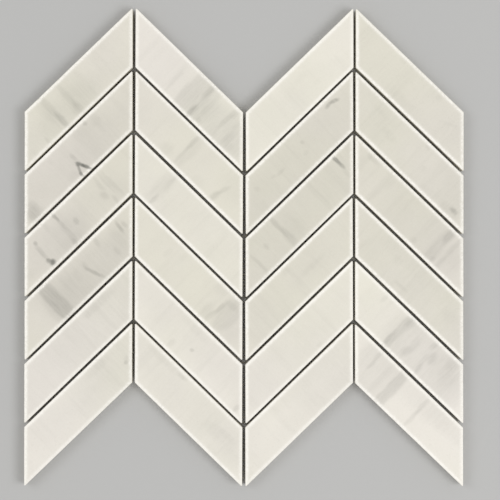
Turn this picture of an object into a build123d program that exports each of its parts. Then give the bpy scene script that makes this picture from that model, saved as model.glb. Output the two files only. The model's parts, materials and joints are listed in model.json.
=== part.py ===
from build123d import *
import os
from math import cos, radians, tan

# A sheet of chevron mosaic, lying face up: sawn marble chips in four upright columns, glued on
# a net of glass-fibre threads. Each chip is a slanted parallelogram, and the slant changes sides
# from one column to the next, so the rows run across the sheet as a zigzag.
# X runs across the columns, Y up the columns, and Z out of the polished face. The origin is on
# the underside of the net, below the middle of the sheet.

# Driving dimensions, in millimetres and degrees
COLUMN_PITCH = 70.0
ROW_PITCH = 40.0
JOINT = 1.6
CUT_ANGLE = 44.0
CHIP_THICKNESS = 9.6
ARRIS = 0.3
TIP_RADIUS = 0.5
COLUMNS = "abcd"
ROWS = 6

# The net: flat threads along X on the underside, and flat threads along Y between them and the chips
THREAD_WIDTH = 0.6
THREAD_THICKNESS = 0.2
WEFT_PITCH = 3.5
WARP_PITCH = 3.0
NET_MARGIN = 1.5
SHORTEST_THREAD = 6.0

# Sizes that follow
SLOPE = tan(radians(CUT_ANGLE))
CHIP_WIDTH = COLUMN_PITCH - JOINT
CHIP_RISE = CHIP_WIDTH * SLOPE
CHIP_SIDE = ROW_PITCH - JOINT / cos(radians(CUT_ANGLE))
NET_THICKNESS = 2 * THREAD_THICKNESS
HALF_WIDTH = (len(COLUMNS) * COLUMN_PITCH - JOINT) / 2
HALF_COLUMN = ((ROWS - 1) * ROW_PITCH + CHIP_SIDE) / 2
HALF_HEIGHT = HALF_COLUMN + CHIP_RISE / 2


def chip_outline(lean):
    """A parallelogram with two upright sides. A lean of 1 rises to the right, and -1 falls."""
    left = -CHIP_WIDTH / 2
    right = CHIP_WIDTH / 2
    low_end = -lean * CHIP_RISE / 2
    high_end = lean * CHIP_RISE / 2
    half_side = CHIP_SIDE / 2
    outline = Polygon(
        (left, low_end - half_side),
        (right, high_end - half_side),
        (right, high_end + half_side),
        (left, low_end + half_side),
    )
    return fillet(outline.vertices(), TIP_RADIUS)


def chip(lean):
    """One chip: the outline sawn through the slab, with its upper edges rubbed to a small bevel."""
    blank = extrude(chip_outline(lean), CHIP_THICKNESS)
    face_edges = blank.faces().sort_by(Axis.Z)[-1].edges()
    return chamfer(face_edges, ARRIS)


def column_lean(column):
    """The first and third columns rise to the right, and the others fall."""
    return 1 if column % 2 == 0 else -1


def zigzag(x):
    """The height of a row's middle line at x: low at both sides and in the middle of the sheet."""
    from_valley = (x + len(COLUMNS) / 2 * COLUMN_PITCH) % (2 * COLUMN_PITCH)
    return SLOPE * (COLUMN_PITCH / 2 - abs(COLUMN_PITCH - from_valley))


def net_outline():
    """The sheet's own zigzag outline, drawn in by the margin that the net stops short of it."""
    side = HALF_WIDTH - NET_MARGIN
    end = HALF_COLUMN - NET_MARGIN / cos(radians(CUT_ANGLE))
    folds = [-side, -COLUMN_PITCH, 0, COLUMN_PITCH, side]
    upper = [(x, zigzag(x) + end) for x in folds]
    lower = [(x, zigzag(x) - end) for x in reversed(folds)]
    return Polygon(*upper, *lower, align=None)


def clipped_threads(strips, outline, base):
    """Each strip, cut to the outline and given its thickness. A notch cuts a strip in two."""
    threads = []
    for strip in strips:
        cut = strip & outline
        for piece in cut.faces():
            if piece.bounding_box().diagonal >= SHORTEST_THREAD:
                threads.append(Pos(0, 0, base) * extrude(piece, THREAD_THICKNESS))
    return Compound(children=threads)


def weft_threads(outline):
    """The threads along X, the lowest of the sheet, with one on the middle line."""
    reach = int(HALF_HEIGHT / WEFT_PITCH)
    strip = Rectangle(2 * HALF_WIDTH, THREAD_WIDTH)
    strips = [Pos(0, n * WEFT_PITCH) * strip for n in range(-reach, reach + 1)]
    return clipped_threads(strips, outline, 0)


def warp_threads(outline):
    """The threads along Y, under the chips, with the middle of a mesh on the middle line."""
    reach = int(HALF_WIDTH / WARP_PITCH)
    strip = Rectangle(THREAD_WIDTH, 2 * HALF_HEIGHT)
    strips = [Pos((n + 0.5) * WARP_PITCH, 0) * strip for n in range(-reach - 1, reach + 1)]
    return clipped_threads(strips, outline, THREAD_THICKNESS)


def write_chips():
    """Every chip in its place, named by its column's letter and its row's number from the top."""
    for column, letter in enumerate(COLUMNS):
        shape = chip(column_lean(column))
        x = (column - (len(COLUMNS) - 1) / 2) * COLUMN_PITCH
        for row in range(ROWS):
            y = ((ROWS - 1) / 2 - row) * ROW_PITCH
            placed = Pos(x, y, NET_THICKNESS) * shape
            export_step(placed, f"parts/chip_{letter}{row + 1}.step")


def write_net():
    """The two layers of threads, which meet face to face where they cross."""
    outline = net_outline()
    weft = weft_threads(outline)
    warp = warp_threads(outline)
    print("weft threads", len(weft.solids()), "warp threads", len(warp.solids()))
    export_step(weft, "parts/mesh_weft.step")
    export_step(warp, "parts/mesh_warp.step")


os.makedirs("parts", exist_ok=True)
write_chips()
write_net()
print("sheet", round(2 * HALF_WIDTH, 2), "by", round(2 * HALF_HEIGHT, 2), "before its tips are rounded")
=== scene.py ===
# %% [markdown]
# # A chevron mosaic sheet in white marble
# The real object is a sheet of sawn marble chips, glued face up on a net of glass-fibre threads.
# The chips lean to the right in one column and to the left in the next, so the rows zigzag. The
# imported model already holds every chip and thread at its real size. This lesson gives each chip
# its eased edges and its own stone, and weaves the net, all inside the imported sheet's box.

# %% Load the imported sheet
import json
import math

import bpy
import numpy as np
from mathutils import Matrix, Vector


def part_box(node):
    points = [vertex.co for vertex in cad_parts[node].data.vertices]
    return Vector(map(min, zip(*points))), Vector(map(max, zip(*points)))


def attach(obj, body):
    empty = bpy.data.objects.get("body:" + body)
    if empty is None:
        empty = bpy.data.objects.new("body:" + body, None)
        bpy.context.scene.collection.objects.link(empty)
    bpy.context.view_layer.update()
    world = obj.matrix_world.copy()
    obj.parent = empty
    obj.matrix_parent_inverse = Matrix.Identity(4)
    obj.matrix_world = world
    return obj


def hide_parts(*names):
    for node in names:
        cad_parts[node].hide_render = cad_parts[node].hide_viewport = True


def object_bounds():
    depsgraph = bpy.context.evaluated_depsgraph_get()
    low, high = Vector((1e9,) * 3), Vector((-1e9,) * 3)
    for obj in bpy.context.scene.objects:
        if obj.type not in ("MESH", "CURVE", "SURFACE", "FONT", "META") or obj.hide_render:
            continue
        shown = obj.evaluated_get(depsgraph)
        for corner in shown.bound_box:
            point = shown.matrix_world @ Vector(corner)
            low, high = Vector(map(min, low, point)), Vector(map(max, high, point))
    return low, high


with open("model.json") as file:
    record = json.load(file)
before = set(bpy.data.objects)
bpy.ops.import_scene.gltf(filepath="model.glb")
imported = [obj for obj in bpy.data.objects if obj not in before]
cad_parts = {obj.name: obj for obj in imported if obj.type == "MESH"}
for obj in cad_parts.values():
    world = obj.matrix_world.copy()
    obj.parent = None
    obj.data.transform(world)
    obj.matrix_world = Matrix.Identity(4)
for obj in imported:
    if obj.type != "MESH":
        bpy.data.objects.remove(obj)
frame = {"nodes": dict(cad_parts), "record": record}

cad_box = [list(corner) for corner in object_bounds()]
print("packed sheet, in metres:", np.round(cad_box, 4).tolist())

# %% [markdown]
# ## Read the layout from the frame
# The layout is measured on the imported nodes, so the looks can't drift away from the model. Only
# a few facts about it can't be measured on a box: the angle that the chips are sawn at, how far
# the net stops short of the outline, how blunt the tips are, and which columns rise to the
# right. They are stated here.

# %% Pitches, joint and saw angle
MM = 0.001
CUT_ANGLE = math.radians(44)
NET_MARGIN = 1.5 * MM
TIP_RADIUS = 0.5 * MM
RISING_COLUMNS = "ac"

chip_nodes = sorted(name for name in frame["nodes"] if name.startswith("chip_"))
rows = max(int(name[-1]) for name in chip_nodes)
columns = len(chip_nodes) // rows
boxes = {name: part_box(name) for name in chip_nodes}
middles = {name: (low + high) / 2 for name, (low, high) in boxes.items()}

chip_width = boxes["chip_a1"][1].x - boxes["chip_a1"][0].x
chip_low = boxes["chip_a1"][0].z
chip_high = boxes["chip_a1"][1].z
column_pitch = middles["chip_b1"].x - middles["chip_a1"].x
row_pitch = middles["chip_a1"].y - middles["chip_a2"].y
joint = column_pitch - chip_width
slope = math.tan(CUT_ANGLE)
chip_side = row_pitch - joint / math.cos(CUT_ANGLE)
chip_rise = chip_width * slope
print("columns:", columns, "rows:", rows, "each chip", round(chip_width / MM, 2), "mm wide")
print("pitch across and up, in mm:", round(column_pitch / MM, 2), round(row_pitch / MM, 2))
print("joint, in mm:", round(joint / MM, 2))


def column_of(node):
    """The letter of a chip's column, such as a for chip_a1."""
    return node[-2]


def lean_of(node):
    """1 for a chip that rises to the right, and -1 for one that falls."""
    return 1 if column_of(node) in RISING_COLUMNS else -1


# %% [markdown]
# ## One mesh builder for chips and threads
# A chip and a thread are the same kind of surface: a ring of points that is carried along a
# second direction, and closed by one point at each end. With the points in one numpy array of
# rings by steps by three coordinates, the faces follow from index sums, and no loop touches a
# single vertex. bmesh could do it too, but it would build the faces one by one.

# %% Closed surfaces from rings of points
def closed_surface(rings, start_pole, end_pole):
    """Vertices and faces of a skin over rings, closed at both ends by a fan round a pole.

    Face (i, j) joins step j and j + 1 of ring i to the same steps of ring i + 1, and the last
    step joins the first. Rings that turn to the left on their way up face outwards.
    """
    count, steps = rings.shape[:2]
    points = np.concatenate([rings.reshape(-1, 3), [start_pole], [end_pole]])
    ring = np.arange(count - 1)[:, None] * steps
    step = np.arange(steps)[None, :]
    after = (step + 1) % steps
    quads = np.stack([ring + step, ring + after, ring + steps + after, ring + steps + step], -1)
    first, last = np.arange(steps), np.arange(steps) + (count - 1) * steps
    start = np.full(steps, count * steps)
    fans = np.concatenate([
        np.stack([start, np.roll(first, -1), first], -1),
        np.stack([last, np.roll(last, -1), start + 1], -1),
    ])
    return points, quads.reshape(-1, 4), fans


def joined(surfaces):
    """Several closed surfaces as one: each one's face numbers move up by the points before it."""
    sizes = [len(surface[0]) for surface in surfaces]
    shifts = np.cumsum([0] + sizes[:-1])
    points = np.concatenate([surface[0] for surface in surfaces])
    quads = np.concatenate([surface[1] + shift for surface, shift in zip(surfaces, shifts)])
    fans = np.concatenate([surface[2] + shift for surface, shift in zip(surfaces, shifts)])
    return points, quads, fans


def add_piece(name, surface, material):
    """Put a surface into a smooth-shaded mesh object at the origin, in metres."""
    points, quads, fans = surface
    mesh = bpy.data.meshes.new(name)
    corners = np.concatenate([quads.ravel(), fans.ravel()]).astype(np.int32)
    sides = np.concatenate([np.full(len(quads), 4), np.full(len(fans), 3)]).astype(np.int32)
    starts = np.concatenate([[0], np.cumsum(sides)[:-1]]).astype(np.int32)
    mesh.vertices.add(len(points))
    mesh.vertices.foreach_set("co", points.astype(np.float32).ravel())
    mesh.loops.add(len(corners))
    mesh.loops.foreach_set("vertex_index", corners)
    mesh.polygons.add(len(sides))
    mesh.polygons.foreach_set("loop_start", starts)
    mesh.polygons.foreach_set("use_smooth", np.ones(len(sides), bool))
    mesh.update(calc_edges=True)
    mesh.validate()
    mesh.materials.append(material)
    piece = bpy.data.objects.new(name, mesh)
    bpy.context.scene.collection.objects.link(piece)
    return piece


# %% [markdown]
# ## The outline of a chip
# A chip is a parallelogram with two upright sides. Its sharp tips are slightly blunt, as on any
# sawn piece of marble. The walk round it is four small arcs with straight runs between them. The
# edge is rubbed and nicked, so the same walk is needed again and again, a little further in each
# time. Moving each point straight inwards would make the walk cross itself at the sharp tips.
# So each point remembers the corner that it comes from, and slides along that corner's own line.

# %% Walk round a parallelogram with blunt tips
ARC_STEPS = 5
STEP_LENGTH = 0.7 * MM


def chip_outline(lean):
    """The walk round a chip about its middle, counter-clockwise: arrays corner, pull and facing.

    A corner's pull is the sum of its two sides' outward directions over one plus their product,
    so one unit of it is one unit away from both sides. On a straight run, corner and pull slide
    from those of one tip to those of the next, and round a tip only facing turns.
    """
    left, right, half = -chip_width / 2, chip_width / 2, chip_side / 2
    low_end, high_end = -lean * chip_rise / 2, lean * chip_rise / 2
    corners = np.array([
        (left, low_end - half), (right, high_end - half),
        (right, high_end + half), (left, low_end + half),
    ])
    runs = np.roll(corners, -1, axis=0) - corners
    lengths = np.linalg.norm(runs, axis=1)
    heading = runs / lengths[:, None]
    outward = np.stack([heading[:, 1], -heading[:, 0]], -1)
    before = np.roll(outward, 1, axis=0)
    pulls = (before + outward) / (1 + np.sum(before * outward, axis=1, keepdims=True))
    corner, pull, facing = [], [], []
    for tip in range(4):
        following = (tip + 1) % 4
        start = math.atan2(before[tip, 1], before[tip, 0])
        sweep = (math.atan2(outward[tip, 1], outward[tip, 0]) - start) % (2 * math.pi)
        angles = start + sweep * np.linspace(0, 1, ARC_STEPS)
        share = np.linspace(0, 1, int(lengths[tip] / STEP_LENGTH) + 1)[1:-1, None]
        corner += [np.tile(corners[tip], (ARC_STEPS, 1))]
        corner += [(1 - share) * corners[tip] + share * corners[following]]
        pull += [np.tile(pulls[tip], (ARC_STEPS, 1))]
        pull += [(1 - share) * pulls[tip] + share * pulls[following]]
        facing += [np.column_stack([np.cos(angles), np.sin(angles)])]
        facing += [np.tile(outward[tip], (len(share), 1))]
    return np.concatenate(corner), np.concatenate(pull), np.concatenate(facing)


def drawn_in(walk, inset):
    """The outline moved inwards by inset, which is one number or one for each point.

    Its place is corner - (inset + r) * pull + r * facing, where r is the blunt tips' radius. On
    the way in they get sharper, as r = R * R / (R + inset), but never fold over.
    """
    corner, pull, facing = walk
    inset = np.broadcast_to(inset, len(corner))[:, None]
    radius = TIP_RADIUS**2 / (TIP_RADIUS + inset)
    return corner - (inset + radius) * pull + radius * facing


walks = {lean: chip_outline(lean) for lean in (1, -1)}
print("points round a chip:", len(walks[1][0]))

# %% [markdown]
# ## An eased upper edge and small nicks
# The upper edge of a marble chip is rubbed to a small round, and here and there a grain has
# broken out of it. Both are one number that changes along the edge: its radius. A slow wave
# makes the rubbing uneven, and a few narrow bumps make the nicks. Both are read at a distance
# along the edge, and both close up where the walk round the chip ends.

# %% Radius of the upper edge
EDGE_RADIUS = 0.42 * MM
UNEVEN_SHARE = 0.2
NICKS_PER_CHIP = 11
NICK_WIDTHS = (0.7 * MM, 1.4 * MM)
NICK_DEPTHS = (0.04 * MM, 0.30 * MM)
RUB_CYCLES = (3, 7, 13, 29, 53)
WAVE_REACH = 1.6


def wave(distance, length, rng, cycles):
    """A closed wave between about -1 and 1: cosines that fit the way round a whole number of times.

    The mean of several cosines seldom comes near 1, so it is stretched by WAVE_REACH.
    """
    phases = rng.uniform(0, 2 * math.pi, len(cycles))
    turns = 2 * math.pi * np.outer(distance / length, cycles) + phases
    return np.cos(turns).mean(axis=1) * WAVE_REACH


def edge_radius(distance, length, rng):
    """The rubbed edge's radius: its mean, a slow wave, and a bell-shaped bump for each nick.

    The random number for a nick's depth is squared, so most nicks are shallow.
    """
    places = rng.uniform(0, length, NICKS_PER_CHIP)
    widths = rng.uniform(*NICK_WIDTHS, NICKS_PER_CHIP)
    depths = NICK_DEPTHS[0] + (NICK_DEPTHS[1] - NICK_DEPTHS[0]) * rng.uniform(0, 1, NICKS_PER_CHIP) ** 2
    gap = np.abs(distance[:, None] - places)
    gap = np.minimum(gap, length - gap)
    nicks = (depths * np.exp(-((gap / widths) ** 2))).max(axis=1)
    return EDGE_RADIUS * (1 + UNEVEN_SHARE * wave(distance, length, rng, RUB_CYCLES)) + nicks


# %% [markdown]
# ## The rings of a chip
# A chip is a stack of rings. From below, it starts with rings on its underside, turns up over a
# tiny round, climbs the sawn wall, and turns in over the rubbed edge onto the honed face. Each ring
# has its own share of a paler edge colour, which is partly a real bruise of the rubbed stone and
# partly a painted highlight along the edge. On the face the rings lie close together near the
# edge, where that paler band fades, and far apart further in.

# %% Stack the rings
BACK_RADIUS = 0.12 * MM
BACK_BEND = 0.3
BACK_SCALES = [0.3, 0.97]
BRUISE_AND_GLINT_DROP = 1.0 * MM
ROUND_ANGLES = np.radians([0, 22.5, 45, 67.5, 90])
# Shares of the paler edge colour, ring by ring: part bruise, part painted highlight.
ROUND_BRUISE_AND_GLINT = [0.3, 0.4, 0.5, 0.7, 0.9]
FACE_BRUISE_AND_GLINT = {0.12 * MM: 1.0, 0.9 * MM: 0.95, 1.5 * MM: 0.45, 2.0 * MM: 0.15, 2.7 * MM: 0.0}
FACE_SCALES = [0.62, 0.25]
UPPER_BRUISE_AND_GLINT = [*ROUND_BRUISE_AND_GLINT, *FACE_BRUISE_AND_GLINT.values(), *[0] * len(FACE_SCALES)]


def ring_stack(walk, middle, radius, wander):
    """The rings of a chip, from the middle of its underside to the middle of its face.

    Each ring is the outline drawn in by some inset at some height. On the quarter round the
    inset is radius times one minus the cosine, and the drop is radius times one minus the sine.
    """
    def ring(inset, height, scale=1.0):
        plan = drawn_in(walk, inset) * scale + middle
        return np.column_stack([plan, np.broadcast_to(height, len(plan))])

    back = [ring(BACK_RADIUS, chip_low, scale) for scale in BACK_SCALES]
    wall = [
        ring(BACK_RADIUS, chip_low),
        ring(BACK_BEND * BACK_RADIUS, chip_low + BACK_BEND * BACK_RADIUS),
        ring(0, chip_low + BACK_RADIUS),
        ring(wander, (chip_low + chip_high) / 2),
        ring(wander / 2, chip_high - radius - BRUISE_AND_GLINT_DROP),
    ]
    rounding = [
        ring(radius * (1 - math.cos(angle)), chip_high - radius * (1 - math.sin(angle)))
        for angle in ROUND_ANGLES
    ]
    face = [ring(radius + inset, chip_high) for inset in FACE_BRUISE_AND_GLINT]
    face += [ring(radius + max(FACE_BRUISE_AND_GLINT), chip_high, scale) for scale in FACE_SCALES]
    return np.stack(back + wall + rounding + face)


print("rings in a chip that can be bruised:", len(UPPER_BRUISE_AND_GLINT))

# %% [markdown]
# ## Laid by hand
# The chips are dropped into a jig by hand before the net is glued on, so no joint is quite even.
# The third column leans over the most. A shift of a tenth of a millimetre and a turn of a
# fraction of a degree are enough to show it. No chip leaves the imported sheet's box.

# %% Turn and shift a chip
LAID_SHIFT = 0.12 * MM
LAID_TURN = {"a": 0.06, "b": -0.12, "c": 0.28, "d": 0.16}
LAID_TURN_SPREAD = 0.07


def laid(points, node, rng):
    """Points turned about the chip's middle and shifted, then moved back inside the sheet's box."""
    turn = math.radians(LAID_TURN[column_of(node)] + rng.uniform(-1, 1) * LAID_TURN_SPREAD)
    cos, sin = math.cos(turn), math.sin(turn)
    middle = np.array([*middles[node][:2], 0])
    shift = np.array([*rng.uniform(-1, 1, 2) * LAID_SHIFT, 0])
    turned = (points - middle) @ np.array([(cos, sin, 0), (-sin, cos, 0), (0, 0, 1)]) + middle + shift
    over = np.maximum(turned.max(axis=0) - cad_box[1], 0)
    under = np.maximum(np.array(cad_box[0]) - turned.min(axis=0), 0)
    return turned - over + under


# %% [markdown]
# ## One chip
# Now the pieces come together. The distance along the edge drives both the uneven rubbing and the
# slow wander of the saw. A painted highlight makes the paler edge band strongest on edges that
# face left, a little stronger on those that face up, and weakest on those that face right. The
# seed is the chip's number, so each chip differs from its neighbours and is the same in each run.

# %% The skin of a chip
SAW_WANDER = 0.04 * MM
SAW_CYCLES = (1, 2, 5, 9)
# Mean share of the paler edge colour, and a painted highlight that favours edges facing left and up.
RUBBED, LEFT_GLINT, UP_GLINT = 0.83, 0.17, 0.05


def chip_surface(node, seed):
    """The closed skin of one chip, in its place, and each point's share of the paler edge colour.

    The points round one tip share its corner's distance along the edge, and so one radius: with
    several they would pass each other on the way in. A point's share is its ring's own, times
    RUBBED, less LEFT_GLINT times the facing's x, plus UP_GLINT times its y; the last two paint a
    highlight on edges that face left and up.
    """
    rng = np.random.default_rng(seed)
    walk = walks[lean_of(node)]
    corner, facing = walk[0], walk[2]
    stretch = np.linalg.norm(np.roll(corner, -1, axis=0) - corner, axis=1)
    distance, length = np.cumsum(stretch) - stretch, stretch.sum()
    radius = edge_radius(distance, length, rng)
    wander = SAW_WANDER * np.clip(0.5 + 0.5 * wave(distance, length, rng, SAW_CYCLES), 0, 1)
    middle = np.array(middles[node])[:2]
    rings = ring_stack(walk, middle, radius, wander)
    bruise_and_glint_shares = np.append(np.zeros(len(rings) - len(UPPER_BRUISE_AND_GLINT)), UPPER_BRUISE_AND_GLINT)
    rubbed = RUBBED + facing @ (-LEFT_GLINT, UP_GLINT)
    points, quads, fans = closed_surface(rings, (*middle, chip_low), (*middle, chip_high))
    bruised_and_glinting = np.append(np.outer(bruise_and_glint_shares, rubbed), (0, 0))
    return (laid(points, node, rng), quads, fans), bruised_and_glinting


# %% [markdown]
# ## Helpers for shader nodes
# A material is a small graph. These helpers add a node, set its plain values and plug it in, so
# that a recipe below reads as one line for each step.

# %% Add and link shader nodes
def new_material(name):
    """An empty node material with its output and its main shader."""
    material = bpy.data.materials.new(name)
    material.use_nodes = True
    tree = material.node_tree
    tree.nodes.clear()
    shader = tree.nodes.new("ShaderNodeBsdfPrincipled")
    output = tree.nodes.new("ShaderNodeOutputMaterial")
    tree.links.new(shader.outputs["BSDF"], output.inputs["Surface"])
    return material, tree, shader


def plug(tree, socket, value):
    """Feed a socket: link it where the value is another socket, or else set it."""
    if isinstance(value, bpy.types.NodeSocket):
        tree.links.new(value, socket)
    else:
        socket.default_value = value


def maths(tree, operation, first, second=0.0, third=None):
    """One Math node."""
    node = tree.nodes.new("ShaderNodeMath")
    node.operation = operation
    plug(tree, node.inputs[0], first)
    plug(tree, node.inputs[1], second)
    if third is not None:
        plug(tree, node.inputs[2], third)
    return node.outputs[0]


def remap(tree, value, from_low, from_high, to_low, to_high, smooth=False):
    """One Map Range node, clamped at both ends."""
    node = tree.nodes.new("ShaderNodeMapRange")
    node.interpolation_type = "SMOOTHSTEP" if smooth else "LINEAR"
    plug(tree, node.inputs["Value"], value)
    ends = ("From Min", from_low), ("From Max", from_high), ("To Min", to_low), ("To Max", to_high)
    for socket, end in ends:
        plug(tree, node.inputs[socket], end)
    return node.outputs["Result"]


def mapped(tree, vector, location=(0, 0, 0), turn=0.0, scale=(1, 1, 1)):
    """A Mapping node in its Texture form: go to the place, turn about Z, then divide by the scale."""
    node = tree.nodes.new("ShaderNodeMapping")
    node.vector_type = "TEXTURE"
    plug(tree, node.inputs["Vector"], vector)
    node.inputs["Location"].default_value = location
    node.inputs["Rotation"].default_value = (0, 0, turn)
    node.inputs["Scale"].default_value = scale
    return node.outputs["Vector"]


def noise(tree, vector, size, detail=2.0, roughness=0.5, output="Fac"):
    """A Noise Texture whose blotches are about as wide as size, in the vector's unit."""
    node = tree.nodes.new("ShaderNodeTexNoise")
    plug(tree, node.inputs["Vector"], vector)
    node.inputs["Scale"].default_value = 1 / size
    node.inputs["Detail"].default_value = detail
    node.inputs["Roughness"].default_value = roughness
    return node.outputs[output]


def blend(tree, share, first, second, mode="MIX"):
    """A Mix node for colours."""
    node = tree.nodes.new("ShaderNodeMix")
    node.data_type = "RGBA"
    node.blend_type = mode
    plug(tree, node.inputs["Factor"], share)
    plug(tree, node.inputs["A"], first)
    plug(tree, node.inputs["B"], second)
    return node.outputs["Result"]


def vector_maths(tree, operation, *inputs):
    """One Vector Math node and its vector result, or its length for LENGTH."""
    node = tree.nodes.new("ShaderNodeVectorMath")
    node.operation = operation
    for socket, value in zip(node.inputs, inputs):
        plug(tree, socket, value)
    return node.outputs["Value" if operation == "LENGTH" else "Vector"]


def bumped(tree, height, strength, distance):
    """A Bump node's normal, for a height that is counted in units of distance."""
    node = tree.nodes.new("ShaderNodeBump")
    node.inputs["Strength"].default_value = strength
    node.inputs["Distance"].default_value = distance
    plug(tree, node.inputs["Height"], height)
    return node.outputs["Normal"]


def colour(red, green, blue):
    """A screen colour, 0 to 255, as the linear colour that a shader takes: the sRGB curve."""
    screen = np.array([red, green, blue]) / 255
    linear = np.where(screen <= 0.04045, screen / 12.92, ((screen + 0.055) / 1.055) ** 2.4)
    return (*linear.tolist(), 1.0)


# %% [markdown]
# ## Where the streaks of each chip lie
# The strips were sawn across the grain of the slab, so the grey streaks cross a chip square to
# its length. Scattering them by noise alone would give the right kind of stone, but not these
# stones. So the clear marks are listed one by one: along the chip and across it from its middle,
# in millimetres, then the size of the mark along and across where it is half as dark as in its
# middle, how dark it is there from 0 to 1, and a turn in degrees. A mark longer than the chip is
# wide runs right over its face. Large faint ones are the clouds in the ground, and a darkness
# below zero is a paler patch.

# %% The marks, chip by chip
FULL = 60
SOFT = 0.62


def mark(along, across, width, length, dark, turn=0.0, soft=SOFT):
    """One streak, spot or cloud in a chip's own millimetres."""
    place, size = (along, across), (width, length)
    return {"place": place, "size": size, "dark": dark, "turn": turn, "soft": soft}


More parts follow.
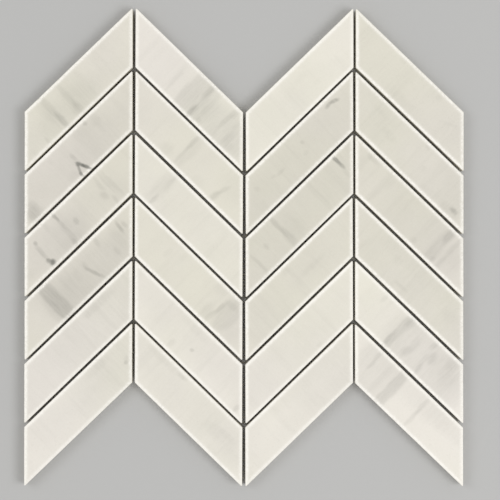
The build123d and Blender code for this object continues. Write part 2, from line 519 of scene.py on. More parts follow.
MARKS = {
    "chip_a1": [
        mark(-6, 2, 56, 24, 0.04), mark(-16, -6, 60, 20, 0.09),
        mark(-21.5, 4, 4.8, 24, 0.15), mark(-20.8, -7, 3.6, 13, 0.21),
        mark(-25, 2, 5, 20, 0.06), mark(-8.2, 1, 4.2, 18, 0.14), mark(-8.6, -8.5, 7, 9, 0.14),
        mark(2, 0, 13, 20, 0.05), mark(6, -7, 2.6, 8, 0.05), mark(-36.4, -10, 2.4, 5, 0.10),
        mark(-48, -9, 4, 5, 0.05), mark(6, 8, 3, 8, 0.03),
    ],
    "chip_a2": [
        mark(0, -4, 110, 26, 0.07), mark(15, 8, 18, 8, 0.05), mark(-12, -9, 8, 6, 0.07),
        mark(-50, -9, 8, 8, 0.05), mark(-3.0, -8.8, 2.1, 10.6, 0.84, 26),
        mark(-5.5, -4.8, 3.2, 2.8, 0.60), mark(-7.0, -7.6, 2.0, 7.4, 0.50, -26),
        mark(-8.5, -10.9, 2.3, 2.6, 0.55), mark(-8.2, -12.6, 1.8, 3.0, 0.45, 15),
        mark(-4.5, -0.4, 2.4, 5.6, 0.17),
        mark(-46.6, -9, 9, 13, 0.25), mark(-44, -4, 5, 8, 0.07), mark(15.4, 10.4, 2.8, 2.8, 0.18),
        mark(22.3, 6, 6, 12, 0.07), mark(10, 0, 14, 26, 0.03), mark(-17, 8, 3, 5, 0.05),
        mark(39, 4, 4, 14, 0.03),
    ],
    "chip_a3": [
        mark(-22, -3, 46, 26, 0.06), mark(26, -3, 26, 22, 0.05), mark(-10, -4, 46, 26, 0.05),
        mark(-16, -9, 26, 8, 0.04), mark(-32.2, -10.4, 4.0, 3.8, 0.75),
        mark(-33.7, -7.6, 2.8, 3.2, 0.50), mark(-33, -1, 3.0, 12, 0.20, -3),
        mark(-31.8, 6, 2.4, 2.8, 0.28), mark(-11.5, 10, 2.4, 7, 0.38), mark(-11.8, 4, 2.6, 9, 0.12),
        mark(-12.2, -4, 3.6, 16, 0.11, -3), mark(-13.4, -10.4, 3.6, 5, 0.14),
        mark(-3.4, -1.6, 3.2, 5, 0.21), mark(-9, -4, 20, 18, 0.06), mark(-20, 9, 3, 7, 0.06),
        mark(20.6, -2.5, 4, 6, 0.13, 10), mark(23.4, 5, 2.8, 10, 0.11), mark(27.4, 3, 2.4, 18, 0.08),
        mark(29.8, 0, 2.4, 20, 0.10), mark(24, -9, 2.6, 6, 0.10), mark(-48, -6, 9, 6, 0.04),
    ],
    "chip_a4": [
        mark(-19.8, 0, 10.0, FULL, 0.27, 0, 0.3), mark(-25, -5, 7, 22, 0.08),
        mark(-17, 0, 27, FULL, 0.06), mark(42, 6, 14, 12, 0.04), mark(-46, -2, 16, FULL, -0.06),
        mark(12, -3, 66, 26, 0.13, 0, 0.4), mark(-8.6, 5, 4, 14, 0.03),
        mark(10.4, -4.2, 2.3, 13, 0.26, 20),
        mark(8.8, 2.4, 3.0, 6, 0.10, -10), mark(24.6, 9, 3, 7, 0.14), mark(41.6, 5.4, 2.6, 8, 0.24, -8),
        mark(45.2, 4.4, 2.6, 5, 0.14), mark(30, -4, 3, 6, 0.09), mark(1, 1, 3, 8, 0.04),
        mark(36, 0, 6, 18, 0.04),
    ],
    "chip_a5": [
        mark(14, 0, 130, FULL, 0.09), mark(26, 0, 60, FULL, 0.04), mark(28, 8.4, 22, 5, 0.08),
        mark(18, 8, 8, 4, 0.05),
    ],
    "chip_a6": [
        mark(40, 0, 60, FULL, 0.10), mark(40.6, -1.7, 3.0, 2.6, 0.22), mark(42.4, 0.2, 3.4, 3, 0.08),
        mark(26, 8.6, 22, 5, 0.05), mark(0, 4, 70, 20, 0.03), mark(-6, -4, 50, 26, 0.03),
    ],
    "chip_b1": [
        mark(2.6, 0, 11.4, FULL, 0.14, 0, 0.25), mark(33, -3, 48, 24, 0.13, 0, 0.4),
        mark(14, 0, 110, FULL, 0.05), mark(9.8, 8, 4.0, 11, 0.20), mark(10.5, -9.4, 3.6, 10, 0.22),
        mark(10.2, 0, 3.6, FULL, 0.12), mark(14.5, -1, 7, FULL, 0.10), mark(17.8, -9.6, 3.4, 3.6, 0.12),
        mark(31.6, 8.6, 4.8, 8, 0.14, -12), mark(30.2, 1, 3.4, 8, 0.07),
        mark(39.4, -4.6, 4.4, 9, 0.09, -16), mark(43, -9, 6, 6, 0.07), mark(-10.8, -2, 2.6, 18, 0.08),
        mark(19, 0, 8, 16, 0.05),
    ],
    "chip_b2": [
        mark(-2.5, 6.4, 3.0, 11, 0.17), mark(0, 1, 7.5, 24, 0.08), mark(-2.5, -4, 2.2, 16, 0.09),
        mark(30.6, -8.4, 4.0, 9, 0.17, -14), mark(32.4, -1.4, 2.8, 9, 0.11, -18),
        mark(-12, -8, 8, 8, 0.07), mark(16, -9, 8, 6, 0.03), mark(38, 4, 22, 16, 0.04),
    ],
    "chip_b3": [
        mark(0, 0, 140, FULL, 0.06), mark(-22.8, 6, 3.2, 12, 0.08), mark(-23.2, -8.4, 2.6, 8, 0.15),
        mark(-25.5, 3, 9, 26, 0.07), mark(6, 4, 12, 14, 0.02), mark(42, 8, 14, 8, 0.05),
    ],
    "chip_b4": [
        mark(26, -6.8, 3.0, 10, 0.15, -6), mark(27.2, 1, 2.8, 9, 0.16, -8),
        mark(33.6, 1, 14, 26, 0.14, 0, 0.35), mark(32, 6.8, 9, 4, 0.09), mark(22, -6, 6, 12, 0.08),
        mark(19, 9, 7, 7, 0.06), mark(-21, 3, 4, 7, 0.05), mark(-12, 7, 4, 8, 0.03),
        mark(44, 0, 14, 26, 0.05),
    ],
    "chip_b5": [
        mark(0, 7, 130, 24, 0.06), mark(5.2, -2.2, 2.6, 2.4, 0.18), mark(-7.4, -8, 4.4, 6, 0.09),
        mark(-2, 9, 20, 5, 0.05), mark(51, -9, 3, 6, 0.15), mark(17, 0, 3, 26, 0.03),
    ],
    "chip_b6": [
        mark(0, 3, 130, 26, 0.07), mark(-15, 10.2, 6, 2.8, 0.12), mark(-30, 9.6, 24, 4, 0.06),
        mark(25, 0.4, 16, 8, 0.06), mark(31, 3, 14, 4, 0.05), mark(30, -10, 10, 3, 0.04),
        mark(38, -6, 24, 12, 0.04),
    ],
    "chip_c1": [
        mark(-16, -3, 62, 24, 0.05), mark(12, -4, 6, 3, 0.03), mark(6, 5, 10, 4, 0.03),
        mark(42, 8, 40, 16, -0.05),
    ],
    "chip_c2": [
        mark(0, -6, 140, 30, 0.07), mark(34.6, 9.3, 5.6, 2.4, 0.34, 4),
        mark(39.2, 8.4, 5.0, 2.6, 0.38, -14),
        mark(6.2, 3.2, 2.6, 2.6, 0.13), mark(-17, -0.5, 7, 2.0, 0.09), mark(-22.4, 0.8, 4, 1.8, 0.06),
        mark(-35.4, 2.2, 3.4, 3.6, 0.07), mark(3, -3, 4, 2.8, 0.06),
    ],
    "chip_c3": [
        mark(0, 0, 140, FULL, 0.07), mark(41.3, 9.4, 2.8, 7, 0.58, 2), mark(41.6, 4.6, 2.4, 5.4, 0.36, 6),
        mark(40.6, -1.0, 3.0, 8, 0.08, -8), mark(-14.5, 5, 3.2, 14, 0.17),
        mark(-13.8, -6, 5.0, 14, 0.15), mark(-7, 0, 11, 20, 0.06), mark(-39.2, -3, 2.5, 14, 0.12, 4),
        mark(-28.4, 0.8, 2.8, 4.2, 0.10), mark(18, 0, 4, 26, 0.05), mark(-39.6, -11, 2.8, 5, 0.06),
    ],
    "chip_c4": [
        mark(0, 0, 140, FULL, 0.05), mark(12, 0.4, 18, 3.6, 0.05), mark(-3, 9, 5, 4, 0.06),
        mark(26, 4, 44, 20, 0.02),
    ],
    "chip_c5": [mark(4, 4, 130, 40, 0.06), mark(-16, 4, 14, 9, 0.03), mark(8, -10, 5, 2.8, 0.06)],
    "chip_c6": [mark(36, 3, 70, FULL, 0.08), mark(-12, 9, 4, 6, 0.03), mark(0, -6, 60, 12, 0.03)],
    "chip_d1": [
        mark(14, -2, 100, 30, 0.06), mark(-1, -9, 20, 7, 0.05), mark(16.8, 9.4, 5, 4, 0.05),
        mark(-16, 10.4, 5, 3, 0.05), mark(34, 2, 12, 2.4, 0.04, 22), mark(40, 0, 30, FULL, 0.04),
    ],
    "chip_d2": [
        mark(0, 0, 140, FULL, 0.07), mark(45.2, -7.2, 5.0, 3.2, 0.26), mark(42, -8.4, 12, 6, 0.07),
        mark(5.8, 10.2, 4, 2.8, 0.07), mark(13, -1, 4, 4, 0.04), mark(-17, -1, 10, 5, 0.05),
        mark(30, -9.4, 24, 5, 0.04), mark(-32, 6, 10, 3, 0.04), mark(42, 2, 34, 26, 0.06),
    ],
    "chip_d3": [
        mark(27, 8.0, 4.2, 11, 0.19), mark(26.2, 0, 7.0, FULL, 0.12), mark(27.4, -7, 9, 10, 0.04),
        mark(29, -9.6, 3.2, 4, 0.09), mark(34, 4, 3.0, 20, 0.08), mark(34.4, -8, 3, 9, 0.09),
        mark(11.6, -9.2, 4, 4, 0.09), mark(-26, 0, 5, 26, 0.05), mark(-41.5, 10, 9, 4, 0.11),
        mark(-22.6, 7, 3, 10, 0.04), mark(8, 0, 60, FULL, 0.06), mark(-47, -2, 8, 30, 0.04),
        mark(40, 4, 14, 20, 0.05), mark(18, 0, 18, FULL, 0.03),
    ],
    "chip_d4": [
        mark(4, 0, 140, FULL, 0.08), mark(-1, -7.2, 9, 2.6, 0.08), mark(-14, 3.4, 6, 5, 0.04),
        mark(35, 1, 10, 8, 0.05), mark(-4, 8, 56, 10, 0.04),
    ],
    "chip_d5": [
        mark(-9.9, 0, 5.4, FULL, 0.15, 0, 0.4), mark(-11.4, -8, 2.8, 12, 0.11),
        mark(-7.8, 9.6, 6, 7, 0.09),
        mark(16, 0, 62, FULL, 0.13, 0, 0.25), mark(2.2, -5.6, 5.2, 7.6, 0.14, -10),
        mark(3.4, 1, 5.4, 10, 0.09, 10), mark(12.8, 9.6, 4, 6, 0.10, -25), mark(17.6, 2.6, 6, 8, 0.12),
        mark(15.6, -8.4, 3, 9, 0.16, 6), mark(14, -2, 3, 9, 0.08, 8), mark(28.8, 8.6, 8, 7, 0.10),
        mark(33.4, -1, 10, 12, 0.06), mark(-31, 9, 2.8, 6, 0.09), mark(-24, 0, 40, 30, 0.05),
        mark(25, 4, 16, 16, 0.05),
    ],
    "chip_d6": [
        mark(-30, 0, 34, FULL, 0.10, 0, 0.25), mark(-15.6, 0, 7.4, FULL, 0.15, 0, 0.3),
        mark(-36.2, 8.8, 2.8, 8, 0.13), mark(-35.3, 2, 2.6, 8, 0.11, -8), mark(-25, 0, 4, 26, 0.06),
        mark(6.4, 6, 3.4, 14, 0.13), mark(6.4, -5, 3.2, 14, 0.11), mark(14, 9, 64, 16, 0.06),
        mark(30, -7, 50, 16, -0.07),
    ],
}
print("marks placed by hand:", sum(len(marks) for marks in MARKS.values()))

# %% [markdown]
# ## Where the stone turns violet
# Between the streaks the white isn't one white. In some places it leans to a cool violet and in
# others to a greenish cream. The change is slow, over a third of a chip or more, and the eye
# reads it as natural stone. So the violet places are marks as well, large and soft.

# %% The violet clouds, chip by chip
VIOLET_CLOUDS = {
    "chip_a1": [mark(38, 0, 44, FULL, 0.35), mark(-46, 0, 24, FULL, 0.25)],
    "chip_a2": [mark(-24, 0, 76, FULL, 0.75), mark(34, 0, 40, FULL, 0.2)],
    "chip_a3": [mark(-26, 0, 56, FULL, 0.7)],
    "chip_a4": [mark(-4, 0, 96, FULL, 0.5)],
    "chip_a5": [mark(-36, 0, 90, FULL, 0.85), mark(24, 0, 50, FULL, 0.35)],
    "chip_a6": [mark(-36, 0, 90, FULL, 0.75)],
    "chip_b1": [mark(-34, 0, 70, FULL, 0.85)],
    "chip_b2": [mark(-44, 0, 44, FULL, 0.35)],
    "chip_b4": [mark(48, 0, 30, FULL, 0.5)],
    "chip_b5": [mark(40, 0, 70, FULL, 0.6), mark(-30, 0, 60, FULL, 0.2)],
    "chip_b6": [mark(4, 0, 100, FULL, 0.35)],
    "chip_c1": [mark(40, 0, 40, FULL, 0.25)],
    "chip_c2": [mark(36, 0, 50, FULL, 0.25)],
    "chip_c4": [mark(-44, 0, 34, FULL, 0.3)],
    "chip_c5": [mark(-44, 0, 60, FULL, 0.65)],
    "chip_c6": [mark(-6, 0, 130, FULL, 0.45)],
    "chip_d1": [mark(40, 0, 60, FULL, 0.5)],
    "chip_d2": [mark(34, 0, 60, FULL, 0.45)],
    "chip_d3": [mark(42, 0, 50, FULL, 0.8)],
    "chip_d4": [mark(50, 0, 28, FULL, 0.6)],
    "chip_d5": [mark(26, 0, 90, FULL, 0.8), mark(50, 0, 24, FULL, 0.6)],
    "chip_d6": [mark(0, 0, 140, FULL, 0.7)],
}
print("violet clouds:", sum(len(clouds) for clouds in VIOLET_CLOUDS.values()))

# %% [markdown]
# ## The marble
# Marble is packed crystals of calcite. From afar the face is a cloudy white, now more violet and
# now a greenish cream, crossed by grey streaks. Up close it is sugary, with a slightly different
# white in each crystal. The recipe goes the same way, from the large to the small. Each chip has
# its own material, because its stone came from another place in the slab: the same steps, at
# another spot of the noise and with that chip's marks. The record names a tone for each chip.

# %% Tones of the stone
STONE = {
    "marble_white": colour(236, 232, 222),
    "marble_cream": colour(228, 224, 213),
    "marble_grey": colour(224, 220, 209),
}
VEIN = colour(112, 112, 105)
VIOLET = (1.0, 0.988, 1.014, 1.0)
GREENISH = (0.995, 1.0, 0.971, 1.0)
# Paler edge colour: part bruise of the rubbed stone, part painted highlight.
BRUISED_AND_GLINTING_EDGE = colour(253, 250, 243)
GLUE = colour(206, 198, 176)
slot_of = {part["node"]: part["material_slot"] for part in frame["record"]["subparts"]}
print("chips of each tone:", {tone: list(slot_of.values()).count(tone) for tone in STONE})

# %% [markdown]
# ## Marks as nodes
# A Mapping node brings each point into a mark's own place and turn, and the distance from the
# middle there says how far the mark has faded. A real streak is never quite straight, because
# the rock was squeezed while it was hot. So the place is bent a little by noise first, which
# bends all the marks of a chip together. They reach deep into the stone, and so run on down the
# sawn walls.

# %% Marks and how they bend
MARK_DEPTH = 1000
BEND_SIZE, BEND_REACH = 7.0, 2.2


def marks_on(tree, place, marks):
    """The darkness of all marks at a point.

    A mark is an ellipse that is half as dark at its edge as in its middle. The whole is one
    minus the product of what each mark lets through, so that overlaps never pass 1. A paler
    patch lets through more than all, and so takes back some of the others' darkness.
    """
    through = 1.0
    for spot in marks:
        size = (spot["size"][0] / 2, spot["size"][1] / 2, MARK_DEPTH)
        turned = mapped(tree, place, (*spot["place"], 0), math.radians(spot["turn"]), size)
        away = vector_maths(tree, "LENGTH", turned)
        fade = remap(tree, away, 1 - spot["soft"], 1 + spot["soft"], 1.0, 0.0, smooth=True)
        passes = maths(tree, "MULTIPLY_ADD", fade, -spot["dark"], 1.0)
        through = maths(tree, "MULTIPLY", through, passes)
    return maths(tree, "SUBTRACT", 1.0, through)


def bent(tree, place, spot):
    """The place, moved by noise: (noise - 0.5) * BEND_REACH, which is mostly under half a millimetre."""
    wander = noise(tree, spot, BEND_SIZE, detail=3.0, output="Color")
    centred = vector_maths(tree, "SUBTRACT", wander, (0.5, 0.5, 0.5))
    scaled = vector_maths(tree, "MULTIPLY", centred, (BEND_REACH, BEND_REACH, 0))
    return vector_maths(tree, "ADD", place, scaled)


# %% [markdown]
# ## The colour of the face
# The clear marks are listed one by one, and noise does what lies between them. It makes their
# edges feathery, adds faint streaks across the chip and soft clouds, and lets the tint drift. Each
# layer has a size in millimetres and a band of the noise: below the band the layer does the
# least, and above it the most. Last come the crystals, each a slightly different white.

# %% Ground, clouds, streaks and crystals
FEATHER_SIZE, FEATHER_STRETCH, FEATHER_BAND, FEATHERED = 1.5, (1, 9, 9), (0.3, 0.7), (0.82, 1.16)
STREAK_SIZE, STREAK_STRETCH, STREAK_BAND, STREAK_DARK = 5.0, (1, 14, 14), (0.52, 0.76), 0.05
CLOUD_SIZE, CLOUD_BAND, CLOUD_DARK = 26.0, (0.4, 0.7), 0.04
TINT_SIZE, TINT_PLACE, TINT_BAND, VIOLET_CHANCE = 45.0, (70, 0, 0), (0.38, 0.62), 0.35
GRAINS_PER_MM = 1.5
DULLEST_GRAIN = 0.975


def crystals(tree, spot):
    """Cells like packed grains: two random numbers for each, and the distance to its middle."""
    cells = tree.nodes.new("ShaderNodeTexVoronoi")
    plug(tree, cells.inputs["Vector"], spot)
    cells.inputs["Scale"].default_value = GRAINS_PER_MM
    numbers = tree.nodes.new("ShaderNodeSeparateColor")
    plug(tree, numbers.inputs[0], cells.outputs["Color"])
    return numbers.outputs[0], numbers.outputs[1], cells.outputs["Distance"]


def stone_colour(tree, node, place, spot, grain):
    """The face's colour, and how marked it is: ground, clouds, streaks and marks, then crystals."""
    feather_spot = mapped(tree, spot, scale=FEATHER_STRETCH)
    feather = noise(tree, feather_spot, FEATHER_SIZE, detail=3.0, roughness=0.6)
    streak_spot = mapped(tree, spot, scale=STREAK_STRETCH)
    streaky = noise(tree, streak_spot, STREAK_SIZE, detail=4.0, roughness=0.55)
    cloudy = noise(tree, spot, CLOUD_SIZE, detail=3.0)
    tinted = noise(tree, mapped(tree, spot, TINT_PLACE), TINT_SIZE)
    marked = marks_on(tree, bent(tree, place, spot), MARKS[node])
    feathered = maths(tree, "MULTIPLY", marked, remap(tree, feather, *FEATHER_BAND, *FEATHERED))
    faint = remap(tree, streaky, *STREAK_BAND, 0.0, STREAK_DARK)
    clouds = remap(tree, cloudy, *CLOUD_BAND, 0.0, CLOUD_DARK)
    veined = maths(tree, "ADD", maths(tree, "ADD", feathered, faint), clouds)
    chance = remap(tree, tinted, *TINT_BAND, 0.0, VIOLET_CHANCE)
    clouded = marks_on(tree, place, VIOLET_CLOUDS.get(node, []))
    rest = maths(tree, "SUBTRACT", 1.0, clouded)
    tint = blend(tree, maths(tree, "MULTIPLY_ADD", rest, chance, clouded), GREENISH, VIOLET)
    stone = blend(tree, 1.0, STONE[slot_of[node]], tint, "MULTIPLY")
    stone = blend(tree, veined, stone, VEIN)
    speckle = remap(tree, grain, 0, 1, DULLEST_GRAIN, 1.0)
    shade = tree.nodes.new("ShaderNodeCombineColor")
    for socket in shade.inputs[:3]:
        plug(tree, socket, speckle)
    return blend(tree, 1.0, stone, shade.outputs[0], "MULTIPLY"), marked


# %% [markdown]
# ## Edges, sawn sides and glue
# Where the edge was rubbed, its crystals are crushed and scatter the light, so it is paler, and a
# painted highlight lightens the same band further: more in some patches and some crystals than in
# others. A dark streak runs on through that line. The walls and the underside are as the saw left
# them, rougher than the honed face, and fine lines run along the walls. On the underside, patches
# of glue are smoother and stand a little proud. Which is which follows from how far the surface
# tilts, so one material does for the whole chip.

# %% Finish of the edges, sides and underside
BREAK_SIZE, BREAK_BAND, BROKEN, CRUMBLED = 1.3, (0.35, 0.6), (0.82, 1.0), (0.6, 1.4)
DARK_MARKS, BRUISE_AND_GLINT_ON_DARK = (0.3, 0.8), 0.35
WALL_TILTS, BACK_TILTS = (0.9, 0.3), (-0.6, -0.9)
SMEAR_SIZE, SMEAR_BAND, GLUE_COVER = 6.0, (0.46, 0.56), 0.85
HONED, SAWN, GLUED = 0.30, 0.66, 0.38
POLISH_SIZE, POLISH_BAND, POLISH_SPREAD = 3.0, (0.3, 0.7), (-0.05, 0.06)
SAW_LINE_SIZE, SAW_LINE_STRETCH, SAW_LINE_DEPTH = 0.35, (30, 30, 1), 0.05
GRAIN_RADIUS, GRAIN_HOLLOW = 0.7, 0.004
GLUE_THICKNESS = 0.08
RELIEF_STRENGTH = 0.6


def with_bruised_and_glinting_edge(tree, stone, marked, spot, grain):
    """The stone, paler towards its rubbed edge from bruise and a painted highlight, but less so where a
    dark mark crosses the edge.
    """
    rim = tree.nodes.new("ShaderNodeAttribute")
    rim.attribute_name = "bruised_and_glinting"
    broken = remap(tree, noise(tree, spot, BREAK_SIZE, detail=3.0), *BREAK_BAND, *BROKEN)
    crumbled = maths(tree, "MULTIPLY", broken, remap(tree, grain, 0, 1, *CRUMBLED))
    unmarked = remap(tree, marked, *DARK_MARKS, 1.0, BRUISE_AND_GLINT_ON_DARK)
    paler = maths(tree, "MULTIPLY", maths(tree, "MULTIPLY", rim.outputs["Fac"], crumbled), unmarked)
    return blend(tree, paler, stone, BRUISED_AND_GLINTING_EDGE)


def sawn_and_below(tree):
    """How far the surface is sawn and not honed, and how far it is the underside, by its tilt."""
    upward = tree.nodes.new("ShaderNodeSeparateXYZ")
    plug(tree, upward.inputs[0], tree.nodes.new("ShaderNodeNewGeometry").outputs["Normal"])
    sawn = remap(tree, upward.outputs["Z"], *WALL_TILTS, 0.0, 1.0, smooth=True)
    return sawn, remap(tree, upward.outputs["Z"], *BACK_TILTS, 0.0, 1.0)


def stone_roughness(tree, spot, sawn, glued):
    """Rougher where it is sawn, smoother where it is glued, and a little uneven everywhere."""
    uneven = remap(tree, noise(tree, spot, POLISH_SIZE, detail=4.0), *POLISH_BAND, *POLISH_SPREAD)
    rough = maths(tree, "ADD", maths(tree, "MULTIPLY_ADD", sawn, SAWN - HONED, HONED), uneven)
    return maths(tree, "MULTIPLY_ADD", glued, GLUED - SAWN, rough)


def stone_relief(tree, spot, from_middle, sawn, glued):
    """Saw lines, the hollow in each crystal and the film of glue, as heights in millimetres."""
    line_spot = mapped(tree, spot, scale=SAW_LINE_STRETCH)
    saw_lines = noise(tree, line_spot, SAW_LINE_SIZE, detail=3.0, roughness=0.6)
    lines = maths(tree, "MULTIPLY", maths(tree, "MULTIPLY", saw_lines, sawn), SAW_LINE_DEPTH)
    hollows = remap(tree, from_middle, 0.0, GRAIN_RADIUS, 0.0, GRAIN_HOLLOW)
    heights = maths(tree, "MULTIPLY_ADD", glued, GLUE_THICKNESS, maths(tree, "ADD", lines, hollows))
    return bumped(tree, heights, RELIEF_STRENGTH, MM)


# %% [markdown]
# ## The stone of one chip
# Two places lead everything. One is the chip's own, in millimetres from its middle and turned to
# its length, where the marks lie. The other is a random spot of an endless slab, where the noise
# is read, so no two chips share their grain.

# %% Put the material together
STONE_SEED = 1000
SLAB_REACH = 400
CALCITE_SPECULAR = 0.45


def marble(node, seed):
    """The stone of one chip: honed above, sawn on its walls, sawn and smeared with glue below."""
    material, tree, shader = new_material("marble_of_" + node)
    rng = np.random.default_rng(STONE_SEED + seed)
    here = tree.nodes.new("ShaderNodeTexCoord").outputs["Object"]
    place = mapped(tree, here, tuple(middles[node]), lean_of(node) * CUT_ANGLE, (MM, MM, MM))
    spot = mapped(tree, place, tuple(rng.uniform(-SLAB_REACH, SLAB_REACH, 3)))
    grain, other_grain, from_middle = crystals(tree, spot)
    stone, marked = stone_colour(tree, node, place, spot, grain)
    stone = with_bruised_and_glinting_edge(tree, stone, marked, spot, other_grain)
    sawn, below = sawn_and_below(tree)
    smears = noise(tree, spot, SMEAR_SIZE, detail=4.0, roughness=0.6)
    smeared = remap(tree, smears, *SMEAR_BAND, 0.0, GLUE_COVER, smooth=True)
    glued = maths(tree, "MULTIPLY", below, smeared)
    plug(tree, shader.inputs["Base Color"], blend(tree, glued, stone, GLUE))
    plug(tree, shader.inputs["Roughness"], stone_roughness(tree, spot, sawn, glued))
    plug(tree, shader.inputs["Normal"], stone_relief(tree, spot, from_middle, sawn, glued))
    shader.inputs["Specular IOR Level"].default_value = CALCITE_SPECULAR
    return material


# %% [markdown]
# ## Set the chips
# Each detailed chip stands for its imported solid, which stays in the file, hidden. Names say
# what a tiler would say, and the slot says which finish of the record the piece wears.

# %% Build and place every chip
for seed, node in enumerate(chip_nodes):
    surface, bruised_and_glinting = chip_surface(node, seed)
    chip = add_piece("marble_" + node, surface, marble(node, seed))
    # Each point's share of the paler edge colour: part bruise, part painted highlight.
    edges = chip.data.attributes.new("bruised_and_glinting", "FLOAT", "POINT")
    edges.data.foreach_set("value", bruised_and_glinting.astype(np.float32))
    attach(chip, "root")
    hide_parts(node)
print("triangles in a chip:", 2 * len(surface[1]) + len(surface[2]))

# %% [markdown]
# ## The net
# The net is woven in gauze binding: each thread along the sheet is a pair of yarns. One passes
# over every cross thread and the other under it, and they change sides in each mesh, so the
# cross threads are gripped and can't slide. Resin then stiffens the whole. A flat grid of bars
# would pass from far away, but seen from the back the twist is what makes it a woven net.

# %% The outline of the net, and where its threads lie
net_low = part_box("mesh_weft")[0].z
net_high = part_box("mesh_warp")[1].z
WEFT_PITCH = 3.5 * MM
WARP_PITCH = 3.0 * MM
SHORTEST_THREAD = 6.0 * MM
net_side = columns / 2 * column_pitch - joint / 2 - NET_MARGIN
net_end = ((rows - 1) * row_pitch + chip_side) / 2 - NET_MARGIN / math.cos(CUT_ANGLE)
net_peak = net_end + slope * column_pitch / 2
net_valley = net_end - slope * column_pitch / 2


def zigzag(x):
    """The height of a row's middle line: a triangle wave, low at both sides and in the middle."""
    from_valley = np.mod(x + 2 * column_pitch, 2 * column_pitch)
    return slope * (column_pitch / 2 - np.abs(column_pitch - from_valley))


def weft_spans(y):
    """Where the row at y is inside the outline: one span, or one for each point of the zigzag."""
    if abs(y) <= net_valley:
        return [(-net_side, net_side)]
    reach = (net_peak - abs(y)) / slope
    tips = (-column_pitch, column_pitch) if y > 0 else (-2 * column_pitch, 0.0, 2 * column_pitch)
    spans = [(max(tip - reach, -net_side), min(tip + reach, net_side)) for tip in tips]
    return [span for span in spans if span[1] - span[0] >= SHORTEST_THREAD]


last_row = math.floor(net_peak / WEFT_PITCH)
heights = np.arange(-last_row, last_row + 1) * WEFT_PITCH
spans = [(y, *span) for y in heights for span in weft_spans(y)]
last_line = math.ceil(net_side / WARP_PITCH)
lines = (np.arange(-last_line, last_line) + 0.5) * WARP_PITCH
lines = lines[np.abs(lines) < net_side]
print("cross threads:", len(spans), "pairs of long yarns:", len(lines))

# %% [markdown]
# ## Spin a yarn
# A yarn is a flat oval carried along a path. The oval keeps level, because the resin sets it
# that way, so its two directions are fixed: sideways and up.

# %% Yarns along a path
YARN_SIDES = 6
WEFT_WIDTH, WEFT_HEIGHT = 0.72 * MM, 0.13 * MM
WARP_WIDTH, WARP_HEIGHT = 0.36 * MM, 0.13 * MM
PAIR_SWING = 0.20 * MM
PULL = 0.10 * MM
PULL_WAVES = (31 * MM, 13 * MM)
NET_SEED = 77
middle_height = net_low + (net_high - net_low) / 2
over_height = net_high - WARP_HEIGHT / 2
under_height = net_low + WARP_HEIGHT / 2
net_rng = np.random.default_rng(NET_SEED)


def yarn(path, sideways, width, height):
    """A closed tube: point (i, j) is path i + cos(a) width / 2 sideways + sin(a) height / 2 up.

    Sideways, up and the way along the path are a right-handed set, so the tube faces outwards.
    """
    angles = np.arange(YARN_SIDES) * 2 * math.pi / YARN_SIDES
    flat = np.outer(np.cos(angles) * width / 2, sideways)
    oval = flat + np.outer(np.sin(angles) * height / 2, (0, 0, 1))
    rings = path[:, None, :] + oval[None, :, :]
    return closed_surface(rings, path[0], path[-1])


def pulled(distance):
    """How far a thread is pulled aside: the mean of two slow seeded waves along it, times PULL."""
    first, second = net_rng.uniform(0, 2 * math.pi, 2)
    waves = np.sin(distance / PULL_WAVES[0] + first) + np.sin(distance / PULL_WAVES[1] + second)
    return PULL * waves / 2


def weft_thread(y, start, end):
    """A cross thread: level and nearly straight, with a step for each mesh that it crosses."""
    steps = max(2, int((end - start) / WARP_PITCH) + 1)
    x = np.linspace(start, end, steps)
    path = np.column_stack([x, y + pulled(x), np.full(steps, middle_height)])
    return yarn(path, (0, 1, 0), WEFT_WIDTH, WEFT_HEIGHT)


def warp_yarn(x, side):
    """One yarn of a pair, with two points for each mesh.

    At each cross thread it stands to one side, above or below, and half a mesh further it passes
    its partner. So its swing is side * PAIR_SWING * cos(pi h / 2) at half mesh h.
    """
    half_pitch = WEFT_PITCH / 2
    bottom, top = zigzag(x) - net_end, zigzag(x) + net_end
    half_mesh = np.arange(math.ceil(bottom / half_pitch), math.floor(top / half_pitch) + 1)
    swing = side * PAIR_SWING * np.cos(half_mesh * math.pi / 2)
    own, partners = (over_height, under_height) if side > 0 else (under_height, over_height)
    z = np.where(half_mesh % 2 == 0, own, (middle_height + partners) / 2)
    y = half_mesh * half_pitch
    path = np.column_stack([x + swing + pulled(y), y, z])
    return yarn(path, (-1, 0, 0), WARP_WIDTH, WARP_HEIGHT)


# %% [markdown]
# ## The look of the net
# Glass yarn is a bundle of hair-thin filaments under a film of resin. Fine lines run along the
# yarn, the film shines a little, and a trace of the glue that holds the chips has soaked in.
# Both directions use one recipe, stretched along X for the cross threads and along Y for the
# long ones.

# %% Resin-coated glass yarn
YARN_WHITE = colour(212, 209, 198)
GLUE_TINT = colour(190, 181, 157)
GROOVE_SHADE = colour(150, 146, 132)
FILAMENT_SIZE, FILAMENT_STRETCH = 0.09, 12
GROOVE_BAND, GROOVE_SHARE = (0.35, 0.65), 0.22
GROOVE_STRENGTH, GROOVE_DEPTH = 0.7, 0.05 * MM
SOAK_SIZE, SOAK_BAND, SOAKED = 7.0, (0.45, 0.65), (0.1, 0.7)
DRY_ROUGHNESS, SOAKED_ROUGHNESS = 0.55, 0.3


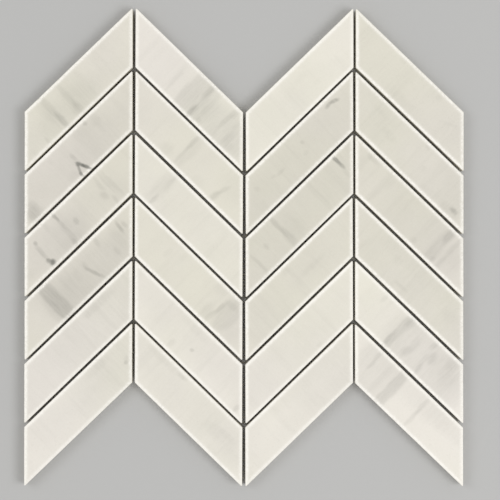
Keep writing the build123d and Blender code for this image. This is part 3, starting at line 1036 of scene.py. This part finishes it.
def glass_yarn(name, stretch):
    """Yarn whose filaments run the way that the noise is stretched."""
    material, tree, shader = new_material(name)
    here = tree.nodes.new("ShaderNodeTexCoord").outputs["Object"]
    place = mapped(tree, here, scale=(MM, MM, MM))
    filaments = noise(tree, mapped(tree, place, scale=stretch), FILAMENT_SIZE, roughness=0.6)
    soaking = noise(tree, place, SOAK_SIZE, detail=3.0)
    soaked = remap(tree, soaking, *SOAK_BAND, *SOAKED, smooth=True)
    tint = blend(tree, soaked, YARN_WHITE, GLUE_TINT)
    grooves = remap(tree, filaments, *GROOVE_BAND, 0.0, GROOVE_SHARE)
    rough = remap(tree, soaked, *SOAKED, DRY_ROUGHNESS, SOAKED_ROUGHNESS)
    plug(tree, shader.inputs["Base Color"], blend(tree, grooves, tint, GROOVE_SHADE))
    plug(tree, shader.inputs["Roughness"], rough)
    plug(tree, shader.inputs["Normal"], bumped(tree, filaments, GROOVE_STRENGTH, GROOVE_DEPTH))
    return material


# %% [markdown]
# ## Weave the net
# The net is three pieces: the cross threads, the long yarns that pass over them, and the long
# yarns that pass under. Each is one mesh of many closed tubes, because over 300 separate objects
# would only slow the file down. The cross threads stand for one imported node. The yarns over
# stand for the other, and their partners belong to the same threads.

# %% Add the three pieces of the net
cross_yarn = glass_yarn("glass_yarn_across", (FILAMENT_STRETCH, 1, 1))
long_yarn = glass_yarn("glass_yarn_along", (1, FILAMENT_STRETCH, 1))
weft = add_piece("net_cross_threads", joined([weft_thread(*span) for span in spans]), cross_yarn)
over = add_piece("net_yarns_over", joined([warp_yarn(x, 1) for x in lines]), long_yarn)
under = add_piece("net_yarns_under", joined([warp_yarn(x, -1) for x in lines]), long_yarn)
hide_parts("mesh_weft")
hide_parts("mesh_warp")
for piece in (weft, over, under):
    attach(piece, "root")
    print(piece.name, "triangles:", sum(len(face.vertices) - 2 for face in piece.data.polygons))

# %% [markdown]
# ## Floor
# The sheet lies on a plain pale floor, a little greyer than the stone, so that the zigzag
# outline reads. The floor is a hair's breadth lower than the net, so that the two never share
# a plane.

# %% Lay the floor
FLOOR_SIZE = 6.0
FLOOR_DROP = 0.02 * MM
FLOOR_GREY = colour(188, 188, 187)
FLOOR_ROUGHNESS = 0.8


def lay_floor():
    """One large square just under the net."""
    corners = np.array([(-1, -1), (1, -1), (1, 1), (-1, 1)]) * FLOOR_SIZE / 2
    mesh = bpy.data.meshes.new("floor")
    mesh.from_pydata([(x, y, -FLOOR_DROP) for x, y in corners], [], [(0, 1, 2, 3)])
    material, tree, shader = new_material("pale_floor")
    plug(tree, shader.inputs["Base Color"], FLOOR_GREY)
    plug(tree, shader.inputs["Roughness"], FLOOR_ROUGHNESS)
    mesh.materials.append(material)
    floor = bpy.data.objects.new("floor", mesh)
    bpy.context.scene.collection.objects.link(floor)


lay_floor()
print("floor, in metres:", FLOOR_SIZE, "lower than the net, in mm:", round(FLOOR_DROP / MM, 2))

# %% [markdown]
# ## Light
# An even sky lights the sheet softly. A large lamp from the right and a weaker one from the left
# shape the rubbed edges and let the honed faces shine a little. Together they are at a plain
# level: a white stone comes out as it was written, and nothing burns out.

# %% Sky and lamps
SKY_COLOUR = (1.0, 0.995, 0.985, 1.0)
SKY_STRENGTH = 0.63
LAMP_SIZE = 0.9
KEY_POWER, KEY_PLACE = 13.4, (1.1, -0.3, 1.7)
FILL_POWER, FILL_PLACE = 6.4, (-1.1, 0.3, 1.7)

world = bpy.data.worlds.new("studio")
bpy.context.scene.world = world
world.use_nodes = True
sky = world.node_tree.nodes["Background"]
sky.inputs["Color"].default_value = SKY_COLOUR
sky.inputs["Strength"].default_value = SKY_STRENGTH


def soft_lamp(name, power, place):
    """A large square lamp that faces the middle of the sheet."""
    data = bpy.data.lights.new(name, "AREA")
    data.energy = power
    data.size = LAMP_SIZE
    lamp = bpy.data.objects.new(name, data)
    bpy.context.scene.collection.objects.link(lamp)
    lamp.location = place
    lamp.rotation_euler = (-lamp.location).to_track_quat("-Z", "Y").to_euler()


soft_lamp("key_lamp", KEY_POWER, KEY_PLACE)
soft_lamp("fill_lamp", FILL_POWER, FILL_PLACE)
print("lamps, in watts:", KEY_POWER, FILL_POWER, "strength of the sky:", SKY_STRENGTH)

# %% [markdown]
# ## Camera
# The camera looks straight down from more than an arm's length above the face, a few millimetres
# to the right of the middle of the sheet. From that near, the joints at the sides show a little
# of the sawn walls. The lens follows from the height and from how much of the sheet's plane the
# picture's width takes in.

# %% Place the camera
CAMERA_HEIGHT = 1.1
CAMERA_OFFSET = (3.8 * MM, -1.6 * MM)
FRAME_WIDTH = 316.85 * MM
ROLL = math.radians(0.10)
SENSOR_WIDTH = 36.0
NEAREST, FURTHEST = 0.05, 20.0

camera_data = bpy.data.cameras.new("camera")
camera_data.sensor_width = SENSOR_WIDTH
camera_data.lens = SENSOR_WIDTH * CAMERA_HEIGHT / FRAME_WIDTH
camera_data.clip_start, camera_data.clip_end = NEAREST, FURTHEST
camera = bpy.data.objects.new("camera", camera_data)
bpy.context.scene.collection.objects.link(camera)
camera.location = (*CAMERA_OFFSET, chip_high + CAMERA_HEIGHT)
camera.rotation_euler = (0, 0, ROLL)
bpy.context.scene.camera = camera
bpy.context.scene.view_settings.view_transform = "Standard"
print("lens, in mm:", round(camera_data.lens, 1))
